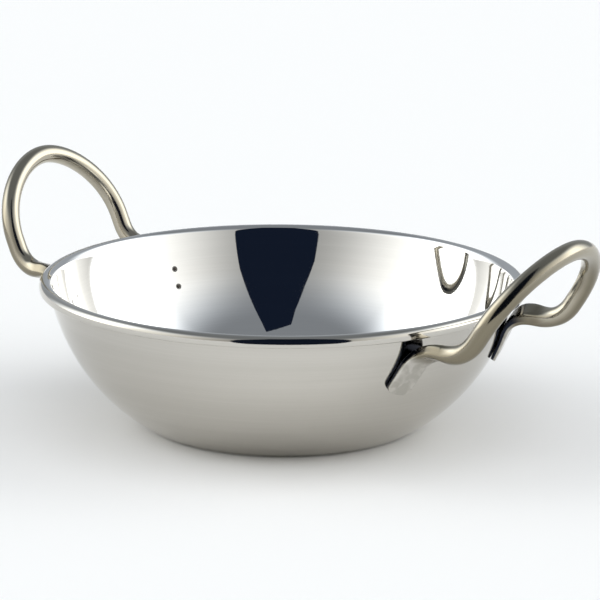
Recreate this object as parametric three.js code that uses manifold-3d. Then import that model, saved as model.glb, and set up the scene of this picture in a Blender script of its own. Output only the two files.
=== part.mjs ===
// Balti dish: a pressed steel bowl with a curled rim, and two bent wire loop handles whose
// flattened feet are spot-welded to the outside of the wall, just below the rim.
// Millimetres, +Z up. The origin is the centre of the flat base, and the handles lie along X.

import * as THREE from 'three';
import { mergeVertices } from 'three/addons/utils/BufferGeometryUtils.js';
import Module from 'manifold-3d';

// Bowl
const RIM_DIAMETER = 130;
const BOWL_HEIGHT = 39.2;
const SHEET_THICKNESS = 0.9;
const BASE_DIAMETER = 74; // where the wall's arc would cross the table
const BASE_CORNER_RADIUS = 3.6;
const WALL_LEAN = 8.9; // degrees from vertical, just below the curl
const CURL_RADIUS = 1.7; // outside of the curled rim
const CURL_LIP_DROP = 1.2; // straight lip below the curl

// Handle loops
const WIRE_DIAMETER = 5;
const LOOP_WIDTH = 43.4; // between the wire's centre lines
const LOOP_LENGTH = 30.75; // from the dip's corner to the top, along the loop's plane
const LOOP_SIDE = 8.9; // straight side above the dip's corner
const LOOP_SIDE_PULL = 12.2; // how far the arch carries on straight from each side
const LOOP_TOP_PULL = 9.7; // how far the arch carries on straight from its top
const DIP_REACH = 8.4; // the dip's corner beyond the rim
const DIP_DROP = 5.8; // the dip's corner below the rim's top
const DIP_CUT = 6.3; // length of wire that the dip's bend takes on each side of its corner

// Handle feet
const ROOT_DROP = 4.2; // the root's corner below the rim's top
const ROOT_CUT = 6.5; // length that the root's bend takes on each side of its corner
const FOOT_LENGTH = 14.4; // from the root's corner to the tip
const FOOT_WIDTH = 7.4;
const FOOT_CORNER_RADIUS = 2.2;
const FOOT_TIP_THICKNESS = 1.4;
const FOOT_ROOT_THICKNESS = 1.9; // the foot thickens from its tip up to the root's bend
const FOOT_GAP = 0.3;

// Each handle is bent by hand, so the two differ a little.
const RIGHT_LEAN = 33.1; // degrees of the loop from vertical
const LEFT_LEAN = 25;
const RIGHT_TURN = 1.1; // degrees round the bowl from a true half turn apart
const RIGHT_SPACING = 39.6; // between a handle's two roots
const LEFT_SPACING = 43;
const RIGHT_SPLAY = 3.4; // degrees round the bowl, from a foot's root to its tip
const LEFT_SPLAY = 0.4;
const RIGHT_FRONT_LIFT = -0.8; // a root's corner above the drawn height
const RIGHT_BACK_LIFT = 1.4;
const LEFT_FRONT_LIFT = 0.9;
const LEFT_BACK_LIFT = 0;
const DIP_LIFT_SHARE = 0.6; // how much of its root's lift a dip follows

// Spot welds
const WELD_DIAMETER = 2.4;
const WELD_DROP = 6.8; // first weld, from the root's corner
const WELD_PITCH = 5.2;
const WELD_WALL_SINK = 0.25;
const WELD_FOOT_SINK = 0.6;
const WELD_CLEARANCE = 0.25;

// Fineness of the facets
const BOWL_SEGMENTS = 64;
const WIRE_SIDES = 12;
const WELD_SIDES = 16;

const wasm = await Module();
wasm.setup();

const radians = THREE.MathUtils.degToRad;
const lerp = THREE.MathUtils.lerp;

// The bowl's half section: a corner arc and one wall arc, tangent to the curl at the top.
const lean = radians(WALL_LEAN);
const curlCentre = new THREE.Vector2(RIM_DIAMETER / 2 - CURL_RADIUS, BOWL_HEIGHT - CURL_RADIUS);
const topNormal = new THREE.Vector2(Math.cos(lean), -Math.sin(lean));
const wallTop = curlCentre.clone().addScaledVector(topNormal, SHEET_THICKNESS - CURL_RADIUS);
const wallChord = wallTop.clone().sub(new THREE.Vector2(BASE_DIAMETER / 2, 0));
const wallRadius = wallChord.lengthSq() / (2 * wallChord.dot(topNormal));
const wallCentre = wallTop.clone().addScaledVector(topNormal, -wallRadius);
const cornerReach = Math.sqrt(
  (wallRadius - BASE_CORNER_RADIUS) ** 2 - (BASE_CORNER_RADIUS - wallCentre.y) ** 2,
);
const cornerCentre = new THREE.Vector2(wallCentre.x + cornerReach, BASE_CORNER_RADIUS);
const cornerEnd = cornerCentre.clone().sub(wallCentre).angle() - 2 * Math.PI;

function arcPoints(centre, radius, from, to, steps) {
  const points = [];
  for (let i = 0; i <= steps; i += 1) {
    const angle = lerp(from, to, i / steps);
    points.push(
      new THREE.Vector2(centre.x + radius * Math.cos(angle), centre.y + radius * Math.sin(angle)),
    );
  }
  return points;
}

function bowlGeometry() {
  const cornerSteps = 4;
  const wallSteps = 10;
  const curlSteps = 6;
  const curlStart = Math.PI - lean;
  const lipFoot = curlCentre.y - CURL_LIP_DROP;
  const innerCurl = CURL_RADIUS - SHEET_THICKNESS;
  const outside = [
    new THREE.Vector2(0, 0),
    ...arcPoints(cornerCentre, BASE_CORNER_RADIUS, -Math.PI / 2, cornerEnd, cornerSteps),
    ...arcPoints(wallCentre, wallRadius, cornerEnd, -lean, wallSteps).slice(1),
    ...arcPoints(curlCentre, innerCurl, curlStart, 0, curlSteps / 2).slice(1),
    new THREE.Vector2(curlCentre.x + innerCurl, lipFoot),
  ];
  const cornerInside = BASE_CORNER_RADIUS - SHEET_THICKNESS;
  const wallInside = wallRadius - SHEET_THICKNESS;
  const inside = [
    new THREE.Vector2(0, SHEET_THICKNESS),
    ...arcPoints(cornerCentre, cornerInside, -Math.PI / 2, cornerEnd, cornerSteps),
    ...arcPoints(wallCentre, wallInside, cornerEnd, -lean, wallSteps).slice(1),
    ...arcPoints(curlCentre, CURL_RADIUS, curlStart, 0, curlSteps).slice(1),
    new THREE.Vector2(curlCentre.x + CURL_RADIUS, lipFoot),
  ];
  const profile = [...outside, ...inside.reverse()];
  return new THREE.LatheGeometry(profile, BOWL_SEGMENTS).rotateX(Math.PI / 2);
}

// A place on the outside of the wall: `along` is the distance down the wall from the root's drawn
// corner, and `off` stands clear of the wall. A foot's side is +1 or -1 along its handle's Y.
const rootHeight = BOWL_HEIGHT - ROOT_DROP;
const rootAngle = Math.asin((rootHeight - wallCentre.y) / wallRadius);
const rootRadius = wallCentre.x + wallRadius * Math.cos(rootAngle);

function wallPlace(along, off, { side, spacing, splay }) {
  const angle = rootAngle - along / wallRadius;
  const rootTurn = Math.asin(spacing / 2 / rootRadius);
  const turn = side * (rootTurn + radians(splay) * (along / FOOT_LENGTH));
  const radius = wallCentre.x + (wallRadius + off) * Math.cos(angle);
  const height = wallCentre.y + (wallRadius + off) * Math.sin(angle);
  const outward = new THREE.Vector3(Math.cos(turn), Math.sin(turn), 0);
  const normal = outward.clone().multiplyScalar(Math.cos(angle));
  normal.z = Math.sin(angle);
  const point = outward.multiplyScalar(radius);
  point.z = height;
  return { point, normal };
}

// The foot is a wedge from its tip up to the root's bend: `along` is as in wallPlace.
const footTopAlong = ({ lift }) => ROOT_CUT - lift;

function footThickness(along, foot) {
  const share = (FOOT_LENGTH - along) / (FOOT_LENGTH - footTopAlong(foot));
  return lerp(FOOT_TIP_THICKNESS, FOOT_ROOT_THICKNESS, share * share);
}

function onFoot(along, foot) {
  return wallPlace(along, FOOT_GAP + footThickness(along, foot) / 2, foot).point;
}

// The centre line of half a handle above its foot, from the root's bend to the top of the loop.
function halfLoop(foot) {
  const bendSteps = 7;
  const lineSteps = 2;
  const archSteps = 10;
  const tilt = radians(foot.lean);
  const rise = new THREE.Vector3(Math.sin(tilt), 0, Math.cos(tilt));
  const base = new THREE.Vector3(RIM_DIAMETER / 2 + DIP_REACH, 0, BOWL_HEIGHT - DIP_DROP);
  const inLoop = (across, up) =>
    base.clone().setY(foot.side * across).addScaledVector(rise, up);
  const dipUp = DIP_LIFT_SHARE * foot.lift;
  const dip = inLoop(LOOP_WIDTH / 2, dipUp);
  const footTop = onFoot(footTopAlong(foot), foot);
  const upFoot = footTop.clone().sub(onFoot(footTopAlong(foot) + 1, foot)).normalize();
  const root = footTop.clone().addScaledVector(upFoot, ROOT_CUT);
  const jut = dip.clone().sub(root).normalize();
  const jutStart = root.clone().addScaledVector(jut, ROOT_CUT);
  const jutEnd = dip.clone().addScaledVector(jut, -DIP_CUT);
  const sideStart = inLoop(LOOP_WIDTH / 2, dipUp + DIP_CUT);
  const sideEnd = inLoop(LOOP_WIDTH / 2, LOOP_SIDE);
  const arch = new THREE.CubicBezierCurve3(
    sideEnd,
    inLoop(LOOP_WIDTH / 2, LOOP_SIDE + LOOP_SIDE_PULL),
    inLoop(LOOP_TOP_PULL, LOOP_LENGTH),
    inLoop(0, LOOP_LENGTH),
  );
  return [
    { curve: new THREE.QuadraticBezierCurve3(footTop, root, jutStart), steps: bendSteps },
    { curve: new THREE.LineCurve3(jutStart, jutEnd), steps: lineSteps },
    { curve: new THREE.QuadraticBezierCurve3(jutEnd, dip, sideStart), steps: bendSteps },
    { curve: new THREE.LineCurve3(sideStart, sideEnd), steps: 1 },
    { curve: arch, steps: archSteps },
  ];
}

// Stations from the foot's tip to the top of the loop. Each holds a point on the centre line, the
// wire's width and thickness there, and how far it has gone from a flat tongue to a round wire.
function halfStations(foot) {
  const tipSteps = 4;
  const footSteps = 5;
  const stations = [];
  const addFootStation = (along, width) => {
    const thickness = footThickness(along, foot);
    stations.push({ point: onFoot(along, foot), width, thickness, round: 0 });
  };
  for (let i = 0; i < tipSteps; i += 1) {
    const angle = lerp(0, Math.PI / 2, i / tipSteps);
    const along = FOOT_LENGTH - FOOT_CORNER_RADIUS * (1 - Math.cos(angle));
    addFootStation(along, FOOT_WIDTH - 2 * FOOT_CORNER_RADIUS * (1 - Math.sin(angle)));
  }
  for (let i = 0; i <= footSteps; i += 1) {
    const along = lerp(FOOT_LENGTH - FOOT_CORNER_RADIUS, footTopAlong(foot), i / footSteps);
    addFootStation(along, FOOT_WIDTH);
  }
  const loop = halfLoop(foot);
  const [rootBend, jut, dipBend] = loop.map(({ curve }) => curve.getLength());
  const rounding = rootBend + jut + dipBend / 2;
  let travelled = 0;
  for (const { curve, steps } of loop) {
    const length = curve.getLength();
    for (let i = 1; i <= steps; i += 1) {
      const round = THREE.MathUtils.smoothstep(travelled + length * (i / steps), 0, rounding);
      stations.push({
        point: curve.getPoint(i / steps),
        width: lerp(FOOT_WIDTH, WIRE_DIAMETER, round),
        thickness: lerp(FOOT_ROOT_THICKNESS, WIRE_DIAMETER, round),
        round,
      });
    }
    travelled += length;
  }
  return stations;
}

// One ring of the wire's skin per station. Both halves of a handle count round the same way.
function halfRings(foot) {
  const footSquareness = 5;
  const wireSquareness = 2;
  const stations = halfStations(foot);
  const last = stations.length - 1;
  const across = new THREE.Vector3();
  const thick = wallPlace(FOOT_LENGTH, 0, foot).normal;
  return stations.map(({ point, width, thickness, round }, i) => {
    const before = stations[Math.max(i - 1, 0)].point;
    const after = stations[Math.min(i + 1, last)].point;
    const forward = after.clone().sub(before).normalize();
    if (i === last) {
      forward.set(0, -foot.side, 0);
    }
    thick.addScaledVector(forward, -thick.dot(forward)).normalize();
    across.crossVectors(thick, forward).multiplyScalar(foot.side);
    const power = 2 / lerp(footSquareness, wireSquareness, round);
    const ring = [];
    for (let k = 0; k < WIRE_SIDES; k += 1) {
      const angle = (2 * Math.PI * (k + 0.5)) / WIRE_SIDES;
      const c = Math.cos(angle);
      const s = Math.sin(angle);
      ring.push(
        point
          .clone()
          .addScaledVector(across, (width / 2) * Math.sign(c) * Math.abs(c) ** power)
          .addScaledVector(thick, (thickness / 2) * Math.sign(s) * Math.abs(s) ** power),
      );
    }
    return ring;
  });
}

function handleGeometry([firstFoot, secondFoot]) {
  const rings = [...halfRings(firstFoot), ...halfRings(secondFoot).slice(0, -1).reverse()];
  const corners = rings.flat();
  const faces = [];
  const count = WIRE_SIDES;
  for (let i = 0; i + 1 < rings.length; i += 1) {
    for (let k = 0; k < count; k += 1) {
      const a = i * count + k;
      const b = i * count + ((k + 1) % count);
      faces.push(a, b, b + count, a, b + count, a + count);
    }
  }
  const end = (rings.length - 1) * count;
  for (let k = 1; k + 1 < count; k += 1) {
    faces.push(0, k + 1, k);
    faces.push(end, end + k, end + k + 1);
  }
  return new THREE.BufferGeometry().setFromPoints(corners).setIndex(faces);
}

// Joining and cutting
function solidOf(geometry) {
  const bare = new THREE.BufferGeometry();
  bare.setAttribute('position', geometry.attributes.position);
  bare.setIndex(geometry.index);
  const merged = mergeVertices(bare, 1e-4);
  const index = merged.index.array;
  const triVerts = [];
  for (let i = 0; i < index.length; i += 3) {
    const [a, b, c] = [index[i], index[i + 1], index[i + 2]];
    if (a !== b && b !== c && c !== a) {
      triVerts.push(a, b, c);
    }
  }
  return new wasm.Manifold(
    new wasm.Mesh({
      numProp: 3,
      vertProperties: merged.attributes.position.array,
      triVerts: new Uint32Array(triVerts),
    }),
  );
}

function geometryOf(solid) {
  const { vertProperties, triVerts } = solid.getMesh();
  const geometry = new THREE.BufferGeometry();
  geometry.setAttribute('position', new THREE.BufferAttribute(vertProperties, 3));
  geometry.setIndex(new THREE.BufferAttribute(triVerts, 1));
  geometry.computeVertexNormals();
  return geometry;
}

function cut(geometry, tools) {
  return geometryOf(tools.reduce((solid, tool) => solid.subtract(solidOf(tool)), solidOf(geometry)));
}

// Spot welds: short discs that bridge the gap between foot and wall, each in a shallow pocket
// of both. The same places drive the discs and the pockets.
const weldLength = WELD_WALL_SINK + FOOT_GAP + WELD_FOOT_SINK;

function weldPlaces(feet) {
  const off = (FOOT_GAP + WELD_FOOT_SINK - WELD_WALL_SINK) / 2;
  const places = [];
  for (const foot of feet) {
    for (const [levelName, level] of [['upper', 0], ['lower', 1]]) {
      const { point, normal } = wallPlace(WELD_DROP + level * WELD_PITCH, off, foot);
      const turn = new THREE.Quaternion().setFromUnitVectors(THREE.Object3D.DEFAULT_UP, normal);
      places.push({ name: `${foot.name}_${levelName}_weld`, point, turn });
    }
  }
  return places;
}

function weldGeometry(clearance) {
  const radius = WELD_DIAMETER / 2 + clearance;
  return new THREE.CylinderGeometry(radius, radius, weldLength + 2 * clearance, WELD_SIDES);
}

function pocketTools(feet) {
  return weldPlaces(feet).map(({ point, turn }) =>
    weldGeometry(WELD_CLEARANCE).applyQuaternion(turn).translate(point.x, point.y, point.z),
  );
}

// Materials
const polishedSteel = new THREE.MeshStandardMaterial({
  name: 'bowl_steel',
  color: 0xb9b8b6,
  roughness: 0.16,
  metalness: 1,
});
const nickelWire = new THREE.MeshStandardMaterial({
  name: 'handle_wire',
  color: 0xc2b9ab,
  roughness: 0.2,
  metalness: 1,
});
const weldSteel = new THREE.MeshStandardMaterial({
  name: 'weld_steel',
  color: 0x77736f,
  roughness: 0.5,
  metalness: 1,
});

// Assembly
const dish = new THREE.Group();
dish.name = 'balti_dish';

const rightShape = { lean: RIGHT_LEAN, spacing: RIGHT_SPACING, splay: RIGHT_SPLAY };
const leftShape = { lean: LEFT_LEAN, spacing: LEFT_SPACING, splay: LEFT_SPLAY };
const handles = [
  {
    name: 'right',
    turn: radians(RIGHT_TURN),
    feet: [
      { ...rightShape, name: 'back', side: 1, lift: RIGHT_BACK_LIFT },
      { ...rightShape, name: 'front', side: -1, lift: RIGHT_FRONT_LIFT },
    ],
  },
  {
    name: 'left',
    turn: Math.PI,
    feet: [
      { ...leftShape, name: 'front', side: 1, lift: LEFT_FRONT_LIFT },
      { ...leftShape, name: 'back', side: -1, lift: LEFT_BACK_LIFT },
    ],
  },
];

const bowlPockets = handles.flatMap(({ turn, feet }) =>
  pocketTools(feet).map((tool) => tool.rotateZ(turn)),
);
const bowl = new THREE.Mesh(cut(bowlGeometry(), bowlPockets), polishedSteel);
bowl.name = 'bowl';
dish.add(bowl);

for (const { name, turn, feet } of handles) {
  const side = new THREE.Group();
  side.rotation.z = turn;
  const handle = new THREE.Mesh(cut(handleGeometry(feet), pocketTools(feet)), nickelWire);
  handle.name = `${name}_handle`;
  side.add(handle);
  for (const place of weldPlaces(feet)) {
    const weld = new THREE.Mesh(weldGeometry(0), weldSteel);
    weld.name = `${name}_${place.name}`;
    weld.position.copy(place.point);
    weld.quaternion.copy(place.turn);
    side.add(weld);
  }
  dish.add(side);
}

export default dish;
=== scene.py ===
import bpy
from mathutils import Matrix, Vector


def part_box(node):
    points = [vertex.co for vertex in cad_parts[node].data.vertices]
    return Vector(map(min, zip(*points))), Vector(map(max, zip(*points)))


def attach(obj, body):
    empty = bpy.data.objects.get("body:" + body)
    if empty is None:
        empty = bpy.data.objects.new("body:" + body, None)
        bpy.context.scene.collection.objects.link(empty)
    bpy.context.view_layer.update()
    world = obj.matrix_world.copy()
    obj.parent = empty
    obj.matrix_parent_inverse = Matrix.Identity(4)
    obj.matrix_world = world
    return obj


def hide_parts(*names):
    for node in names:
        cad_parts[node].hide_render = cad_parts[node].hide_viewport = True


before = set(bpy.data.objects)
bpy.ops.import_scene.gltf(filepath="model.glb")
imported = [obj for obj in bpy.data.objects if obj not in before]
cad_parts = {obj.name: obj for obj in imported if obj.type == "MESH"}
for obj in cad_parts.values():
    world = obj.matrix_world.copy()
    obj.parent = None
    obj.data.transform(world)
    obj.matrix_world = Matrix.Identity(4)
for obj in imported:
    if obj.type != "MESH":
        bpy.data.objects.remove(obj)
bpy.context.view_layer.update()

import math

import bmesh
import bpy
from mathutils import Matrix, Vector

# A balti dish: a polished steel bowl with a curled rim and two wire loop handles that are
# spot-welded to it. Metres, +Z up, the origin at the centre of the base, handles along X.

MM = 0.001

# Bowl sizes. The rim and the height come from the frame.
bowl_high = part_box("bowl")[1]
RIM_RADIUS = bowl_high.x
BOWL_HEIGHT = bowl_high.z
SHEET = 0.9 * MM
BASE_RADIUS = 37 * MM
BASE_CORNER = 3.6 * MM
WALL_LEAN = math.radians(8.9)
INNER_LEAN = math.radians(11.3)
CURL_RADIUS = 1.7 * MM
CURL_LIP_DROP = 1.2 * MM

# Handle sizes
WIRE_DIAMETER = 5 * MM
LOOP_WIDTH = 43.4 * MM
LOOP_LENGTH = 30.75 * MM
LOOP_SIDE = 8.9 * MM
LOOP_SIDE_PULL = 12.2 * MM
LOOP_TOP_PULL = 9.7 * MM
DIP_REACH = 8.4 * MM
DIP_DROP = 5.8 * MM
DIP_CUT = 6.3 * MM
DIP_LIFT_SHARE = 0.6
ROOT_DROP = 4.2 * MM
ROOT_CUT = 6.5 * MM
FOOT_LENGTH = 14.4 * MM
FOOT_WIDTH = 7.4 * MM
FOOT_CORNER_RADIUS = 2.2 * MM
FOOT_TIP_THICKNESS = 1.4 * MM
FOOT_ROOT_THICKNESS = 1.9 * MM
FOOT_GAP = 0.06 * MM

# Each handle is bent by hand: its lean, its turn round the bowl, and the spacing and splay of its feet.
# Then, for its first foot (+Y before the turn) and its second: how far the root is lifted, and how
# large the weld marks are, as a share of WELD_MARK_RADIUS.
RIGHT = {
    "lean": math.radians(33.1),
    "turn": math.radians(1.1),
    "spacing": 39.6 * MM,
    "splay": math.radians(4.7),
    "lifts": (1.4 * MM, -0.8 * MM),
    "marks": (0.8, 0.8),
}
LEFT = {
    "lean": math.radians(25),
    "turn": math.pi,
    "spacing": 43 * MM,
    "splay": math.radians(0.4),
    "lifts": (0.9 * MM, 0),
    "marks": (0.35, 1.0),
}

# Spot welds
WELDS_PER_FOOT = 2
WELD_DROP = 6.8 * MM
WELD_PITCH = 5.2 * MM
WELD_DENT_RADIUS = 1.5 * MM
WELD_DENT_FLAT_RADIUS = 0.675 * MM
WELD_DENT_DEPTH = 0.16 * MM
WELD_MARK_RADIUS = 0.62 * MM

# Camera, as the photograph was taken
VIEW_AZIMUTH = math.radians(37.8)
VIEW_ELEVATION = math.radians(14)
VIEW_ROLL = math.radians(0.47)
VIEW_DISTANCE = 800 * MM
VIEW_TARGET_RIGHT = 4.64 * MM
VIEW_TARGET_HEIGHT = 32.6 * MM
FOCAL_PIXELS = 2986
FRAME_PIXELS = 600
SENSOR = 36

view_right = Vector((math.cos(VIEW_AZIMUTH), math.sin(VIEW_AZIMUTH), 0))
view_front = Vector((math.sin(VIEW_AZIMUTH), -math.cos(VIEW_AZIMUTH), 0))


def lerp(a, b, share):
    return a + (b - a) * share


def smoothstep(value, low, high):
    share = min(max((value - low) / (high - low), 0), 1)
    return share * share * (3 - 2 * share)


# Node trees

class Sketch:
    """Adds nodes to a tree and links or sets their inputs."""

    def __init__(self, tree):
        self.tree = tree

    def feed(self, socket, value):
        if isinstance(value, bpy.types.NodeSocket):
            self.tree.links.new(value, socket)
        else:
            socket.default_value = value

    def node(self, kind, inputs=None, **settings):
        node = self.tree.nodes.new(kind)
        for key, value in settings.items():
            setattr(node, key, value)
        for key, value in (inputs or {}).items():
            self.feed(node.inputs[key], value)
        return node

    def math(self, operation, *values, clamp=False):
        node = self.node("ShaderNodeMath", operation=operation, use_clamp=clamp)
        for socket, value in zip(node.inputs, values):
            self.feed(socket, value)
        return node.outputs[0]

    def vector(self, operation, *values):
        node = self.node("ShaderNodeVectorMath", operation=operation)
        sockets = [node.inputs[0], node.inputs["Scale"]] if operation == "SCALE" else node.inputs
        for socket, value in zip(sockets, values):
            self.feed(socket, value)
        return node.outputs["Value" if operation == "DOT_PRODUCT" else "Vector"]

    def combine(self, x, y, z):
        return self.node("ShaderNodeCombineXYZ", {"X": x, "Y": y, "Z": z}).outputs[0]

    def split(self, vector):
        return self.node("ShaderNodeSeparateXYZ", {"Vector": vector}).outputs

    def ramp(self, value, low, high, to_low=0.0, to_high=1.0):
        """A smooth step from one level to another while the value goes from low to high."""
        node = self.node(
            "ShaderNodeMapRange",
            {"Value": value, "From Min": low, "From Max": high, "To Min": to_low, "To Max": to_high},
            interpolation_type="SMOOTHSTEP",
        )
        return node.outputs[0]

    def blend(self, share, a, b):
        return self.math("MULTIPLY_ADD", self.math("SUBTRACT", b, a), share, a)

    def mix_colour(self, share, a, b):
        node = self.node("ShaderNodeMix", data_type="RGBA")
        for identifier, value in (("Factor_Float", share), ("A_Color", a), ("B_Color", b)):
            socket = next(s for s in node.inputs if s.identifier == identifier)
            self.feed(socket, value)
        return next(s for s in node.outputs if s.identifier == "Result_Color")


def new_tree(name, kind, inputs, outputs):
    tree = bpy.data.node_groups.new(name, kind)
    for in_out, sockets in (("INPUT", inputs), ("OUTPUT", outputs)):
        for socket_name, socket_type in sockets:
            tree.interface.new_socket(socket_name, in_out=in_out, socket_type=socket_type)
    sketch = Sketch(tree)
    return tree, sketch, sketch.node("NodeGroupInput").outputs, sketch.node("NodeGroupOutput").inputs


def named(sketch, name, data_type="FLOAT"):
    node = sketch.node("GeometryNodeInputNamedAttribute", {"Name": name}, data_type=data_type)
    return node.outputs["Attribute"]


def ring_of_turns(sketch, count):
    """A closed profile whose points know their turn, from 0 to a full circle."""
    circle = sketch.node("GeometryNodeCurvePrimitiveCircle", {"Resolution": count}, mode="RADIUS")
    index = sketch.node("GeometryNodeInputIndex").outputs[0]
    turn = sketch.math("DIVIDE", sketch.math("MULTIPLY", index, 2 * math.pi), count)
    store = sketch.node(
        "GeometryNodeStoreNamedAttribute",
        {"Geometry": circle.outputs[0], "Name": "turn", "Value": turn},
        data_type="FLOAT",
        domain="POINT",
    )
    return store.outputs[0]


def close_tree(sketch, geometry, material, output):
    real = sketch.node("GeometryNodeRealizeInstances", {"Geometry": geometry})
    smooth = sketch.node("GeometryNodeSetShadeSmooth", {"Geometry": real.outputs[0]})
    finish = sketch.node(
        "GeometryNodeSetMaterial", {"Geometry": smooth.outputs[0], "Material": material}
    )
    sketch.feed(output, finish.outputs[0])


def swept_skin(sketch, path, count):
    """Skins a line of stations with a ring of points each. The caller then sets their places."""
    curve = sketch.node("GeometryNodeMeshToCurve", {"Mesh": path})
    skin = sketch.node(
        "GeometryNodeCurveToMesh",
        {"Curve": curve.outputs[0], "Profile Curve": ring_of_turns(sketch, count), "Fill Caps": True},
    )
    return skin.outputs[0]


def turned_sheet_tree():
    """Turns a half section, given as a line of radii and heights, about the bowl's axis."""
    tree, sketch, given, result = new_tree(
        "Turned sheet",
        "GeometryNodeTree",
        [
            ("Section", "NodeSocketGeometry"),
            ("Segments", "NodeSocketInt"),
            ("Weld distance", "NodeSocketFloat"),
            ("Finish", "NodeSocketMaterial"),
        ],
        [("Sheet", "NodeSocketGeometry")],
    )
    skin = swept_skin(sketch, given["Section"], given["Segments"])
    turn = named(sketch, "turn")
    radius = named(sketch, "reach")
    place = sketch.combine(
        sketch.math("MULTIPLY", radius, sketch.math("COSINE", turn)),
        sketch.math("MULTIPLY", radius, sketch.math("SINE", turn)),
        named(sketch, "height"),
    )
    placed = sketch.node("GeometryNodeSetPosition", {"Geometry": skin, "Position": place})
    merged = sketch.node(
        "GeometryNodeMergeByDistance",
        {"Geometry": placed.outputs[0], "Distance": given["Weld distance"]},
    )
    close_tree(sketch, merged.outputs[0], given["Finish"], result["Sheet"])
    return tree


def flattened_wire_tree():
    """Skins a path with sections that go from a flat tongue to a round wire."""
    tree, sketch, given, result = new_tree(
        "Flattened wire",
        "GeometryNodeTree",
        [
            ("Path", "NodeSocketGeometry"),
            ("Sides", "NodeSocketInt"),
            ("Finish", "NodeSocketMaterial"),
        ],
        [("Wire", "NodeSocketGeometry")],
    )
    skin = swept_skin(sketch, given["Path"], given["Sides"])
    turn = named(sketch, "turn")
    square = named(sketch, "square")
    cosine = sketch.math("COSINE", turn)
    sine = sketch.math("SINE", turn)
    # Stretching each direction onto a superellipse squares the section without bunching its points.
    total = sketch.math(
        "ADD",
        sketch.math("POWER", sketch.math("ABSOLUTE", cosine), square),
        sketch.math("POWER", sketch.math("ABSOLUTE", sine), square),
    )
    stretch = sketch.math("POWER", total, sketch.math("DIVIDE", -1.0, square))
    aside = sketch.math("MULTIPLY", sketch.math("MULTIPLY", cosine, stretch), named(sketch, "half_width"))
    out = sketch.math("MULTIPLY", sketch.math("MULTIPLY", sine, stretch), named(sketch, "half_thick"))
    place = sketch.vector(
        "ADD",
        named(sketch, "centre", "FLOAT_VECTOR"),
        sketch.vector(
            "ADD",
            sketch.vector("SCALE", named(sketch, "across", "FLOAT_VECTOR"), aside),
            sketch.vector("SCALE", named(sketch, "thick", "FLOAT_VECTOR"), out),
        ),
    )
    placed = sketch.node("GeometryNodeSetPosition", {"Geometry": skin, "Position": place})
    ring = sketch.node(
        "GeometryNodeStoreNamedAttribute",
        {"Geometry": placed.outputs[0], "Name": "ring", "Value": sketch.combine(cosine, sine, 0.0)},
        data_type="FLOAT_VECTOR",
        domain="POINT",
    )
    close_tree(sketch, ring.outputs[0], given["Finish"], result["Wire"])
    return tree


def weld_marks_tree():
    """Puts one mark on each point: a low nub inside a thin raised ring."""
    tree, sketch, given, result = new_tree(
        "Weld marks",
        "GeometryNodeTree",
        [
            ("Places", "NodeSocketGeometry"),
            ("Radius", "NodeSocketFloat"),
            ("Finish", "NodeSocketMaterial"),
        ],
        [("Marks", "NodeSocketGeometry")],
    )
    nub_height = 0.22
    ring_reach = 1.2
    ring_wire = 0.16
    nub = sketch.node(
        "GeometryNodeMeshUVSphere", {"Segments": 24, "Rings": 12, "Radius": given["Radius"]}
    )
    flat_nub = sketch.node(
        "GeometryNodeTransform", {"Geometry": nub.outputs[0], "Scale": (1.0, 1.0, nub_height)}
    )
    ring_path = sketch.node(
        "GeometryNodeCurvePrimitiveCircle",
        {"Resolution": 32, "Radius": sketch.math("MULTIPLY", given["Radius"], ring_reach)},
        mode="RADIUS",
    )
    ring_section = sketch.node(
        "GeometryNodeCurvePrimitiveCircle",
        {"Resolution": 8, "Radius": sketch.math("MULTIPLY", given["Radius"], ring_wire)},
        mode="RADIUS",
    )
    ring = sketch.node(
        "GeometryNodeCurveToMesh",
        {"Curve": ring_path.outputs[0], "Profile Curve": ring_section.outputs[0]},
    )
    mark = sketch.node("GeometryNodeJoinGeometry")
    sketch.tree.links.new(flat_nub.outputs[0], mark.inputs[0])
    sketch.tree.links.new(ring.outputs[0], mark.inputs[0])
    facing = sketch.node(
        "FunctionNodeAlignRotationToVector",
        {"Vector": named(sketch, "facing", "FLOAT_VECTOR")},
        axis="Z",
    )
    copies = sketch.node(
        "GeometryNodeInstanceOnPoints",
        {
            "Points": given["Places"],
            "Instance": mark.outputs[0],
            "Rotation": facing.outputs[0],
            "Scale": named(sketch, "size"),
        },
    )
    close_tree(sketch, copies.outputs[0], given["Finish"], result["Marks"])
    return tree


# Pieces

def run_along(points):
    """How far along a line each of its points lies."""
    run = [0.0]
    for before, after in zip(points, points[1:]):
        run.append(run[-1] + (after - before).length)
    return run


def line_mesh(name, points, attributes, joined=True):
    """A line of points, or loose points, that carries one named attribute per measure."""
    mesh = bpy.data.meshes.new(name)
    edges = [(i, i + 1) for i in range(len(points) - 1)] if joined else []
    mesh.from_pydata(points, edges, [])
    for key, values in attributes.items():
        if isinstance(values[0], Vector):
            layer = mesh.attributes.new(key, "FLOAT_VECTOR", "POINT")
            layer.data.foreach_set("vector", [c for v in values for c in v])
        else:
            layer = mesh.attributes.new(key, "FLOAT", "POINT")
            layer.data.foreach_set("value", values)
    return mesh


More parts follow.
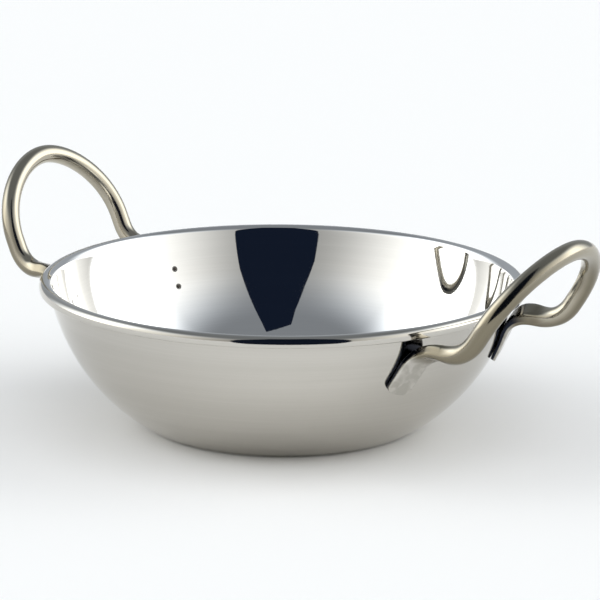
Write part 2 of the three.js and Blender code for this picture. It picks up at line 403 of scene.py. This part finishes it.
def grow(name, seed, tree, settings, kept_attributes=()):
    """Runs a tree on a seed mesh and returns a plain object with the result."""
    source = bpy.data.objects.new(name + "_seed", seed)
    bpy.context.scene.collection.objects.link(source)
    modifier = source.modifiers.new("grow", "NODES")
    modifier.node_group = tree
    for item in tree.interface.items_tree:
        if item.item_type == "SOCKET" and item.in_out == "INPUT" and item.name in settings:
            modifier[item.identifier] = settings[item.name]
    depsgraph = bpy.context.evaluated_depsgraph_get()
    mesh = bpy.data.meshes.new_from_object(source.evaluated_get(depsgraph), depsgraph=depsgraph)
    source.modifiers.remove(modifier)
    bpy.data.objects.remove(source)
    spare = [
        a.name
        for a in mesh.attributes
        if not a.is_internal and not a.is_required and a.name not in kept_attributes
        and a.name not in ("material_index", "sharp_face")
    ]
    for key in spare:
        mesh.attributes.remove(mesh.attributes[key])
    shell = bmesh.new()
    shell.from_mesh(mesh)
    bmesh.ops.recalc_face_normals(shell, faces=shell.faces)
    shell.to_mesh(mesh)
    shell.free()
    mesh.name = name
    piece = bpy.data.objects.new(name, mesh)
    bpy.context.scene.collection.objects.link(piece)
    return piece


# Bowl

curl_centre = Vector((RIM_RADIUS - CURL_RADIUS, BOWL_HEIGHT - CURL_RADIUS))


def wall_circle(low, lean, curl_radius):
    """The circle of one face of the wall, from a low point up to the curl, as a centre and a radius."""
    normal = Vector((math.cos(lean), -math.sin(lean)))
    top = curl_centre - normal * curl_radius
    chord = top - low
    radius = chord.length_squared / (2 * chord.dot(normal))
    return top - normal * radius, radius


def base_corner(centre, radius, corner_radius):
    """The round corner between the base and one face of the wall, as a centre and its end angle."""
    reach = math.sqrt((radius - corner_radius) ** 2 - (BASE_CORNER - centre.y) ** 2)
    return Vector((centre.x + reach, BASE_CORNER)), math.atan2(BASE_CORNER - centre.y, reach)


# The outside, and the inside, which leans a little more, so the sheet is thickest half way up.
wall_centre, WALL_RADIUS = wall_circle(Vector((BASE_RADIUS, 0)), WALL_LEAN, CURL_RADIUS - SHEET)
inner_low = wall_centre.x + math.sqrt((WALL_RADIUS - SHEET) ** 2 - (SHEET - wall_centre.y) ** 2)
inner_centre, INNER_RADIUS = wall_circle(Vector((inner_low, SHEET)), INNER_LEAN, CURL_RADIUS)


def arc(centre, radius, start, end, steps):
    angles = [lerp(start, end, i / steps) for i in range(steps + 1)]
    return [centre + radius * Vector((math.cos(a), math.sin(a))) for a in angles]


def bowl_section():
    """The sheet's half section: up the outside, round the lip's edge and down the inside."""
    corner_steps, wall_steps, curl_steps, edge_steps, base_steps = 10, 44, 14, 6, 8
    edge_centre = curl_centre + Vector((CURL_RADIUS - SHEET / 2, SHEET / 2 - CURL_LIP_DROP))

    def face(centre, radius, corner_radius, lean, curl_radius, height):
        corner_centre, corner_end = base_corner(centre, radius, corner_radius)
        base = [Vector((corner_centre.x * i / base_steps, height)) for i in range(base_steps)]
        corner = arc(corner_centre, corner_radius, -math.pi / 2, corner_end, corner_steps)
        wall = arc(centre, radius, corner_end, -lean, wall_steps)
        curl = arc(curl_centre, curl_radius, math.pi - lean, 0, curl_steps)
        return base + corner + wall[1:] + curl[1:]

    outside = face(wall_centre, WALL_RADIUS, BASE_CORNER, WALL_LEAN, CURL_RADIUS - SHEET, 0)
    inside = face(inner_centre, INNER_RADIUS, BASE_CORNER - SHEET, INNER_LEAN, CURL_RADIUS, SHEET)
    edge = arc(edge_centre, SHEET / 2, -math.pi, 0, edge_steps)
    return outside, edge, inside[::-1]


def make_bowl(finish):
    outside, edge, inside = bowl_section()
    section = outside + edge + inside
    # The mirror polish of the inside fades out over the top of the curl.
    fade_start, fade_end = curl_centre.x - 0.3 * CURL_RADIUS, curl_centre.x + 0.8 * CURL_RADIUS
    polish = [0.0] * (len(outside) + len(edge))
    polish += [1 - smoothstep(p.x, fade_start, fade_end) for p in inside]
    seed = line_mesh(
        "bowl_section",
        [(p.x, 0, p.y) for p in section],
        {
            "reach": [p.x for p in section],
            "height": [p.y for p in section],
            "polish": polish,
            "run": run_along(section),
        },
    )
    settings = {"Segments": 224, "Weld distance": 0.002 * MM, "Finish": finish}
    return grow("bowl_sheet", seed, turned_sheet_tree(), settings, ("polish", "run"))


# Handles

root_angle = math.asin((BOWL_HEIGHT - ROOT_DROP - wall_centre.y) / WALL_RADIUS)
root_radius = wall_centre.x + WALL_RADIUS * math.cos(root_angle)


def feet_of(hand):
    """The two feet of a handle, one on each side of its own X axis."""
    return [{**hand, "side": side, "lift": lift} for side, lift in zip((1, -1), hand["lifts"])]


def wall_place(along, off, foot):
    """A point off the outside of the wall, `along` down from the root's drawn corner, and the normal."""
    angle = root_angle - along / WALL_RADIUS
    root_turn = math.asin(foot["spacing"] / 2 / root_radius)
    turn = foot["side"] * (root_turn + foot["splay"] * along / FOOT_LENGTH)
    outward = Vector((math.cos(turn), math.sin(turn), 0))
    normal = outward * math.cos(angle) + Vector((0, 0, math.sin(angle)))
    reach = wall_centre.x + (WALL_RADIUS + off) * math.cos(angle)
    height = wall_centre.y + (WALL_RADIUS + off) * math.sin(angle)
    return outward * reach + Vector((0, 0, height)), normal


def foot_thickness(along, foot):
    share = (FOOT_LENGTH - along) / (FOOT_LENGTH - ROOT_CUT + foot["lift"])
    return lerp(FOOT_TIP_THICKNESS, FOOT_ROOT_THICKNESS, share * share)


def on_foot(along, foot):
    return wall_place(along, FOOT_GAP + foot_thickness(along, foot) / 2, foot)[0]


def bezier(points, share):
    while len(points) > 1:
        points = [a.lerp(b, share) for a, b in zip(points, points[1:])]
    return points[0]


def loop_legs(foot):
    """Half a handle above its foot, as curves by their control points with a count of steps."""
    rise = Vector((math.sin(foot["lean"]), 0, math.cos(foot["lean"])))
    base = Vector((RIM_RADIUS + DIP_REACH, 0, BOWL_HEIGHT - DIP_DROP))

    def in_loop(across, up):
        return base + Vector((0, foot["side"] * across, 0)) + rise * up

    dip_up = DIP_LIFT_SHARE * foot["lift"]
    dip = in_loop(LOOP_WIDTH / 2, dip_up)
    foot_top_along = ROOT_CUT - foot["lift"]
    foot_top = on_foot(foot_top_along, foot)
    root = foot_top + (foot_top - on_foot(foot_top_along + MM, foot)).normalized() * ROOT_CUT
    jut = (dip - root).normalized()
    jut_start = root + jut * ROOT_CUT
    jut_end = dip - jut * DIP_CUT
    side_start = in_loop(LOOP_WIDTH / 2, dip_up + DIP_CUT)
    side_end = in_loop(LOOP_WIDTH / 2, LOOP_SIDE)
    arch = [
        side_end,
        in_loop(LOOP_WIDTH / 2, LOOP_SIDE + LOOP_SIDE_PULL),
        in_loop(LOOP_TOP_PULL, LOOP_LENGTH),
        in_loop(0, LOOP_LENGTH),
    ]
    return [
        ([foot_top, root, jut_start], 26),
        ([jut_start, jut_end], 8),
        ([jut_end, dip, side_start], 24),
        ([side_start, side_end], 5),
        (arch, 44),
    ]


def half_stations(foot):
    """Places, widths and thicknesses from the foot's tip to the top of the loop."""
    tip_steps, foot_steps = 12, 22
    stations = []

    def add_foot_station(along, width):
        stations.append((on_foot(along, foot), width, foot_thickness(along, foot), 0))

    for i in range(tip_steps):
        angle = math.pi / 2 * i / tip_steps
        along = FOOT_LENGTH - FOOT_CORNER_RADIUS * (1 - math.cos(angle))
        add_foot_station(along, FOOT_WIDTH - 2 * FOOT_CORNER_RADIUS * (1 - math.sin(angle)))
    for i in range(foot_steps + 1):
        share = i / foot_steps
        along = lerp(FOOT_LENGTH - FOOT_CORNER_RADIUS, ROOT_CUT - foot["lift"], share)
        add_foot_station(along, FOOT_WIDTH)
    legs = loop_legs(foot)
    paths = [[bezier(points, i / steps) for i in range(steps + 1)] for points, steps in legs]
    lengths = [sum((b - a).length for a, b in zip(p, p[1:])) for p in paths]
    rounding = lengths[0] + lengths[1] + lengths[2] / 2
    travelled = 0
    for path in paths:
        for before, after in zip(path, path[1:]):
            travelled += (after - before).length
            share = smoothstep(travelled, 0, rounding)
            width = lerp(FOOT_WIDTH, WIRE_DIAMETER, share)
            thickness = lerp(FOOT_ROOT_THICKNESS, WIRE_DIAMETER, share)
            stations.append((after, width, thickness, share))
    return stations


def half_rows(foot):
    """One row of section measures per station. Both halves count round their sections alike."""
    foot_square, wire_square = 9.0, 2.0
    stations = half_stations(foot)
    last = len(stations) - 1
    thick = wall_place(FOOT_LENGTH, 0, foot)[1]
    rows = []
    for i, (point, width, thickness, share) in enumerate(stations):
        forward = (stations[min(i + 1, last)][0] - stations[max(i - 1, 0)][0]).normalized()
        if i == last:
            forward = Vector((0, -foot["side"], 0))
        thick = (thick - forward * thick.dot(forward)).normalized()
        rows.append(
            {
                "centre": point,
                "across": thick.cross(forward) * foot["side"],
                "thick": thick,
                "half_width": width / 2,
                "half_thick": thickness / 2,
                "square": lerp(foot_square, wire_square, share),
                "pressed": 1.0 - share,
            }
        )
    return rows


def dent_feet(piece, welds):
    """Presses a shallow electrode mark into the outer face of each foot, over each weld."""
    outer_face_from = 0.75 * FOOT_TIP_THICKNESS
    for vertex in piece.data.vertices:
        for point, normal in welds:
            offset = vertex.co - point
            height = offset.dot(normal)
            distance = (offset - normal * height).length
            if height > outer_face_from and distance < WELD_DENT_RADIUS:
                share = 1 - smoothstep(distance, WELD_DENT_FLAT_RADIUS, WELD_DENT_RADIUS)
                vertex.co -= normal * WELD_DENT_DEPTH * share


def make_handle(name, hand, tree, finish):
    first, second = feet_of(hand)
    rows = half_rows(first) + half_rows(second)[-2::-1]
    spin = Matrix.Rotation(hand["turn"], 3, "Z")
    measures = {}
    for key in rows[0]:
        values = [row[key] for row in rows]
        measures[key] = [spin @ v for v in values] if isinstance(values[0], Vector) else values
    points = measures["centre"]
    seed = line_mesh(name + "_path", points, {**measures, "run": run_along(points)})
    settings = {"Sides": 48, "Finish": finish}
    piece = grow(name, seed, tree, settings, ("ring", "run", "pressed"))
    dent_feet(piece, weld_places(hand))
    return piece


# Spot welds

def weld_places(hand):
    spin = Matrix.Rotation(hand["turn"], 3, "Z")
    places = []
    for foot in feet_of(hand):
        for level in range(WELDS_PER_FOOT):
            point, normal = wall_place(WELD_DROP + level * WELD_PITCH, 0, foot)
            places.append((spin @ point, spin @ normal))
    return places


def inside_face(point, normal):
    """The point on the inside of the wall behind a point on its outside."""
    outward = Vector((point.x, point.y, 0)).normalized()
    start = Vector((point.dot(outward), point.z)) - inner_centre
    inward = -Vector((normal.dot(outward), normal.z))
    along = start.dot(inward)
    depth = -along - math.sqrt(along ** 2 - start.length_squared + INNER_RADIUS ** 2)
    return point - normal * depth


def make_weld_marks(finish):
    places = [(inside_face(p, n), n) for p, n in weld_places(RIGHT) + weld_places(LEFT)]
    sizes = [size for size in RIGHT["marks"] + LEFT["marks"] for level in range(WELDS_PER_FOOT)]
    seed = line_mesh(
        "weld_mark_places",
        [point for point, normal in places],
        {"facing": [-normal for point, normal in places], "size": sizes},
        joined=False,
    )
    settings = {"Radius": WELD_MARK_RADIUS, "Finish": finish}
    return grow("weld_marks", seed, weld_marks_tree(), settings)


# Finishes

def polishing_lines_group():
    """Fine lines left by a polishing wheel, as a height and a mask, along a stretched coordinate."""
    tree, sketch, given, result = new_tree(
        "Polishing lines",
        "ShaderNodeTree",
        [("Vector", "NodeSocketVector"), ("Contrast", "NodeSocketFloat")],
        [("Height", "NodeSocketFloat"), ("Mask", "NodeSocketFloat")],
    )
    fine = sketch.node(
        "ShaderNodeTexNoise", {"Vector": given["Vector"], "Scale": 1.0, "Detail": 3.0}
    )
    broad = sketch.node(
        "ShaderNodeTexNoise", {"Vector": given["Vector"], "Scale": 0.13, "Detail": 1.0}
    )
    lines = sketch.math("MULTIPLY", fine.outputs[0], broad.outputs[0])
    sketch.feed(result["Height"], fine.outputs[0])
    centred = sketch.math("SUBTRACT", lines, 0.25)
    lifted = sketch.math("MULTIPLY_ADD", centred, given["Contrast"], 0.5, clamp=True)
    sketch.feed(result["Mask"], lifted)
    return tree


def smudges_group():
    """Soft uneven patches, where a polished surface is a little duller."""
    tree, sketch, given, result = new_tree(
        "Smudges",
        "ShaderNodeTree",
        [("Vector", "NodeSocketVector"), ("Size", "NodeSocketFloat")],
        [("Mask", "NodeSocketFloat")],
    )
    cells = sketch.math("DIVIDE", 1.0, given["Size"])
    noise = sketch.node(
        "ShaderNodeTexNoise",
        {"Vector": given["Vector"], "Scale": cells, "Detail": 4.0, "Distortion": 0.6},
    )
    sketch.feed(result["Mask"], sketch.ramp(noise.outputs[0], 0.42, 0.68))
    return tree


def new_finish(name):
    material = bpy.data.materials.new(name)
    material.use_nodes = True
    material.node_tree.nodes.clear()
    sketch = Sketch(material.node_tree)
    shader = sketch.node("ShaderNodeBsdfPrincipled")
    output = sketch.node("ShaderNodeOutputMaterial")
    sketch.feed(output.inputs["Surface"], shader.outputs[0])
    return material, sketch, shader.inputs


def use_group(sketch, tree, inputs):
    node = sketch.node("ShaderNodeGroup", node_tree=tree)
    for key, value in inputs.items():
        sketch.feed(node.inputs[key], value)
    return node.outputs


def attribute(sketch, name, output="Fac"):
    return sketch.node("ShaderNodeAttribute", attribute_name=name).outputs[output]


def object_place(sketch):
    return sketch.node("ShaderNodeTexCoord").outputs["Object"]


def bump(sketch, height, strength, distance):
    node = sketch.node(
        "ShaderNodeBump", {"Height": height, "Strength": strength, "Distance": distance}
    )
    return node.outputs[0]


def stretched(sketch, x, y, run, across, along):
    """A coordinate for streaks: it counts slowly one way and fast the other."""
    return sketch.combine(
        sketch.math("MULTIPLY", x, across),
        sketch.math("MULTIPLY", y, across),
        sketch.math("MULTIPLY", run, along),
    )


def bowl_finish(lines_tree, smudges_tree):
    """Stainless steel: a mirror inside and on the rim, a softer spun polish outside."""
    material, sketch, shader = new_finish("polished_bowl_steel")
    place = object_place(sketch)
    polish = attribute(sketch, "polish")
    parts = sketch.split(place)
    # The lines run round the bowl and follow each other up the wall.
    streaks = stretched(sketch, parts["X"], parts["Y"], attribute(sketch, "run"), 30.0, 2600.0)
    lines = use_group(sketch, lines_tree, {"Vector": streaks, "Contrast": 1.8})
    smudges = use_group(sketch, smudges_tree, {"Vector": place, "Size": 18 * MM})
    mirror = sketch.mix_colour(lines["Mask"], (0.76, 0.755, 0.745, 1), (0.81, 0.805, 0.795, 1))
    spun = sketch.mix_colour(lines["Mask"], (0.54, 0.52, 0.475, 1), (0.6, 0.578, 0.535, 1))
    spun_roughness = sketch.blend(lines["Mask"], 0.05, 0.09)
    mirror_roughness = sketch.blend(smudges["Mask"], 0.02, 0.05)
    sketch.feed(shader["Base Color"], sketch.mix_colour(polish, spun, mirror))
    sketch.feed(shader["Metallic"], 1.0)
    sketch.feed(shader["Roughness"], sketch.blend(polish, spun_roughness, mirror_roughness))
    sketch.feed(shader["Normal"], bump(sketch, lines["Height"], 0.06, 0.02 * MM))
    return material


def wire_finish(lines_tree, smudges_tree):
    """Warm bright drawn wire, mottled where its ends are pressed flat, with painted shade low on the loop
    and at its bends.
    """
    material, sketch, shader = new_finish("warm_handle_wire")
    place = object_place(sketch)
    height = sketch.split(place)["Z"]
    pressed = attribute(sketch, "pressed")
    ring = sketch.split(attribute(sketch, "ring", "Vector"))
    # The lines run along the wire and follow each other round it.
    streaks = stretched(sketch, ring["X"], ring["Y"], attribute(sketch, "run"), 22.0, 60.0)
    lines = use_group(sketch, lines_tree, {"Vector": streaks, "Contrast": 1.8})
    smudges = use_group(sketch, smudges_tree, {"Vector": place, "Size": 3 * MM})
    bright = sketch.mix_colour(lines["Mask"], (0.42, 0.385, 0.31, 1), (0.48, 0.445, 0.365, 1))
    # A darker copy of the wire's colour, used as painted shade.
    painted_shade_colour = sketch.mix_colour(lines["Mask"], (0.21, 0.187, 0.135, 1), (0.25, 0.223, 0.165, 1))
    flat = sketch.mix_colour(smudges["Mask"], (0.46, 0.443, 0.4, 1), (0.61, 0.588, 0.545, 1))
    # Near black, for the painted shade along the edges and backs of the feet.
    dark = (0.024, 0.028, 0.042, 1)
    # Painted shade: the underside of the dip, the low outer side of the loop and the bends get a darker
    # copy of the wire's colour.
    low = sketch.ramp(height, 48 * MM, 64 * MM, 1.0, 0.0)
    low_side = sketch.math("MULTIPLY", sketch.ramp(ring["Y"], -0.4, 0.6), low)
    bent = sketch.ramp(pressed, 0.0, 0.25, 0.0, 0.8)
    wire = sketch.mix_colour(sketch.math("MAXIMUM", low_side, bent), bright, painted_shade_colour)
    polished = sketch.mix_colour(sketch.ramp(pressed, 0.7, 0.98), wire, flat)
    # Painted shade: the edges and backs of the pressed ends are coloured near black, for the dark gap
    # between the feet and the wall.
    edge = sketch.ramp(sketch.math("ABSOLUTE", ring["X"]), 0.68, 0.76)
    edge = sketch.math("MULTIPLY", edge, sketch.ramp(ring["Y"], 0.05, 0.3, 1.0, 0.0))
    back = sketch.ramp(sketch.math("MULTIPLY", ring["Y"], -1.0), 0.1, 0.5)
    painted_gap_shade = sketch.math("MAXIMUM", edge, back)
    painted_gap_shade = sketch.math("MULTIPLY", painted_gap_shade, sketch.ramp(pressed, 0.35, 0.8))
    drawn_roughness = sketch.blend(lines["Mask"], 0.11, 0.18)
    pressed_roughness = sketch.blend(smudges["Mask"], 0.08, 0.16)
    dents = sketch.math("MULTIPLY", smudges["Mask"], pressed)
    relief = sketch.math("ADD", sketch.math("MULTIPLY", lines["Height"], 0.3), dents)
    sketch.feed(shader["Base Color"], sketch.mix_colour(painted_gap_shade, polished, dark))
    sketch.feed(shader["Metallic"], 1.0)
    sketch.feed(shader["Roughness"], sketch.blend(pressed, drawn_roughness, pressed_roughness))
    sketch.feed(shader["Normal"], bump(sketch, relief, 0.05, 0.03 * MM))
    return material


def weld_finish(smudges_tree):
    """Dull grey-brown steel that a spot weld has scorched."""
    material, sketch, shader = new_finish("scorched_weld_steel")
    smudges = use_group(sketch, smudges_tree, {"Vector": object_place(sketch), "Size": 0.4 * MM})
    colour = sketch.mix_colour(smudges["Mask"], (0.05, 0.045, 0.04, 1), (0.16, 0.14, 0.12, 1))
    sketch.feed(shader["Base Color"], colour)
    sketch.feed(shader["Metallic"], 1.0)
    sketch.feed(shader["Roughness"], sketch.blend(smudges["Mask"], 0.4, 0.6))
    return material


# Studio

def stage_sheet(name, corners, shader_kind, shader_inputs):
    """A flat sheet of the studio, from its corners in turn."""
    mesh = bpy.data.meshes.new(name)
    mesh.from_pydata(corners, [], [tuple(range(len(corners)))])
    material = bpy.data.materials.new(name)
    material.use_nodes = True
    material.node_tree.nodes.clear()
    sketch = Sketch(material.node_tree)
    shader = sketch.node(shader_kind, shader_inputs)
    output = sketch.node("ShaderNodeOutputMaterial")
    sketch.feed(output.inputs["Surface"], shader.outputs[0])
    mesh.materials.append(material)
    sheet = bpy.data.objects.new(name, mesh)
    bpy.context.scene.collection.objects.link(sheet)
    return sheet


def make_floor():
    reach = 800 * MM
    drop = 0.2 * MM
    sides = ((-1, 1), (1, 1), (1, -1), (-1, -1))
    corners = [(view_right * a + view_front * b) * reach - Vector((0, 0, drop)) for a, b in sides]
    stage_sheet("pale_floor", corners, "ShaderNodeBsdfDiffuse", {"Color": (0.93, 0.93, 0.93, 1)})


def make_opening():
    """The dark opening in the studio's front, through which the camera looks. Only the steel shows it."""
    # Millimetres ahead of the dish, then to the right and up. The outline narrows from foot to top.
    ahead = 226
    foot_left, foot_right = -84, 121
    foot_corner = ((30, 0), (13, 12), (4, 40), (0, 94))
    left_edge = [(foot_left + inset, rise) for inset, rise in foot_corner]
    left_edge += [(-80, 176), (-63, 270), (-45, 409), (-38, 560)]
    right_edge = [(foot_right - inset, rise) for inset, rise in foot_corner]
    right_edge += [(foot_right, 205), (107, 377), (94, 546), (88, 700)]
    outline = left_edge + right_edge[::-1]
    corners = [(view_front * ahead + view_right * a + Vector((0, 0, b))) * MM for a, b in outline]
    dark = {"Color": (0.0072, 0.0117, 0.025, 1), "Strength": 1.0}
    opening = stage_sheet("dark_opening", corners, "ShaderNodeEmission", dark)
    opening.visible_camera = False
    opening.visible_diffuse = False
    opening.visible_shadow = False


def make_studio():
    """White walls, a greyer front, back and ceiling, and a plain white horizon below them."""
    world = bpy.data.worlds.new("studio")
    world.use_nodes = True
    world.node_tree.nodes.clear()
    sketch = Sketch(world.node_tree)
    heading = sketch.node("ShaderNodeTexCoord").outputs["Generated"]
    ahead = sketch.vector("DOT_PRODUCT", heading, tuple(view_front))
    aside = sketch.vector("DOT_PRODUCT", heading, tuple(view_right))
    turn = sketch.math("ARCTAN2", aside, ahead)
    tilt = sketch.math("ARCSINE", sketch.split(heading)["Z"])
    # The middle of the front stands a little to the left and leans to the right with height.
    middle, lean = math.radians(-2), 0.12
    slant = sketch.math("MULTIPLY_ADD", tilt, -lean, turn)
    bearing = sketch.math("ABSOLUTE", sketch.math("SUBTRACT", slant, middle))

    def degrees_ramp(value, low, high, to_low=0.0, to_high=1.0):
        return sketch.ramp(value, math.radians(low), math.radians(high), to_low, to_high)

    front_light, side_light, back_light, ceiling_light = 0.42, 1.65, 0.4, 0.26
    to_side = degrees_ramp(bearing, 12, 90)
    to_back = degrees_ramp(bearing, 100, 145)
    to_ceiling = degrees_ramp(tilt, 31, 60)
    lamp_glow = degrees_ramp(bearing, 70, 95, 0.0, 1.2)
    sides = sketch.math("ADD", sketch.blend(to_side, front_light, side_light), lamp_glow)
    walls = sketch.blend(to_back, sides, back_light)
    room = sketch.blend(to_ceiling, walls, ceiling_light)

    warm, cool, white = (1, 1, 0.965, 1), (0.93, 1, 1.08, 1), (1, 1, 1, 1)
    tint = sketch.mix_colour(sketch.math("MAXIMUM", degrees_ramp(tilt, 25, 58), to_back), warm, cool)
    # The camera sees plain white, and so does the steel at the horizon.
    rays = sketch.node("ShaderNodeLightPath").outputs
    steel = sketch.math("ADD", rays["Is Glossy Ray"], rays["Is Transmission Ray"])
    horizon = degrees_ramp(tilt, 0, 4, 1.0, 0.0)
    seen = sketch.math("MULTIPLY_ADD", steel, horizon, rays["Is Camera Ray"], clamp=True)
    background = sketch.node(
        "ShaderNodeBackground",
        {
            "Color": sketch.mix_colour(seen, tint, white),
            "Strength": sketch.blend(seen, room, 1.0),
        },
    )
    output = sketch.node("ShaderNodeOutputWorld")
    sketch.feed(output.inputs["Surface"], background.outputs[0])
    bpy.context.scene.world = world


def make_lamps():
    """Wide soft lamps overhead and on both sides light the floor. The steel shows the walls instead."""
    spread = math.radians(60)
    # Name, degrees to the right of the front, degrees up, strength
    lamps = (
        ("top_lamp", 0, 74, 0.8),
        ("left_lamp", -95, 30, 0.24),
        ("right_lamp", 95, 30, 0.34),
    )
    for name, bearing, tilt, strength in lamps:
        data = bpy.data.lights.new(name, "SUN")
        data.energy = strength
        data.angle = spread
        lamp = bpy.data.objects.new(name, data)
        across, up = math.radians(bearing), math.radians(tilt)
        level = view_front * math.cos(across) + view_right * math.sin(across)
        away = level * math.cos(up) + Vector((0, 0, math.sin(up)))
        lamp.location = away
        lamp.rotation_euler = away.to_track_quat("Z", "Y").to_euler()
        lamp.visible_glossy = False
        bpy.context.scene.collection.objects.link(lamp)


def make_camera():
    data = bpy.data.cameras.new("camera")
    data.sensor_fit = "HORIZONTAL"
    data.sensor_width = SENSOR
    data.lens = SENSOR * FOCAL_PIXELS / FRAME_PIXELS
    data.clip_start = 0.01
    toward = view_front * math.cos(VIEW_ELEVATION) + Vector((0, 0, math.sin(VIEW_ELEVATION)))
    upward = toward.cross(view_right)
    right = view_right * math.cos(VIEW_ROLL) + upward * math.sin(VIEW_ROLL)
    up = upward * math.cos(VIEW_ROLL) - view_right * math.sin(VIEW_ROLL)
    target = view_right * VIEW_TARGET_RIGHT + Vector((0, 0, VIEW_TARGET_HEIGHT))
    camera = bpy.data.objects.new("camera", data)
    axes = Matrix((right, up, toward)).transposed()
    camera.matrix_world = Matrix.Translation(target + toward * VIEW_DISTANCE) @ axes.to_4x4()
    bpy.context.scene.collection.objects.link(camera)
    bpy.context.scene.camera = camera


# Assembly

make_camera()
make_studio()
make_lamps()
make_floor()
make_opening()
bpy.context.scene.view_settings.view_transform = "Standard"
# The polished inside mirrors itself more often than the usual four times.
bpy.context.scene.cycles.glossy_bounces = 10

lines_tree = polishing_lines_group()
smudges_tree = smudges_group()
bowl_steel = bowl_finish(lines_tree, smudges_tree)
handle_wire = wire_finish(lines_tree, smudges_tree)
weld_steel = weld_finish(smudges_tree)

bowl = make_bowl(bowl_steel)
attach(bowl, "root")
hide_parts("bowl")

wire_tree = flattened_wire_tree()
for name, hand in (("right", RIGHT), ("left", LEFT)):
    handle = make_handle(name + "_wire_loop", hand, wire_tree, handle_wire)
    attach(handle, "root")
    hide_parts(name + "_handle")

marks = make_weld_marks(weld_steel)
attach(marks, "root")

for name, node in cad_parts.items():
    if name.endswith("_weld"):
        node.data.materials.clear()
        node.data.materials.append(weld_steel)
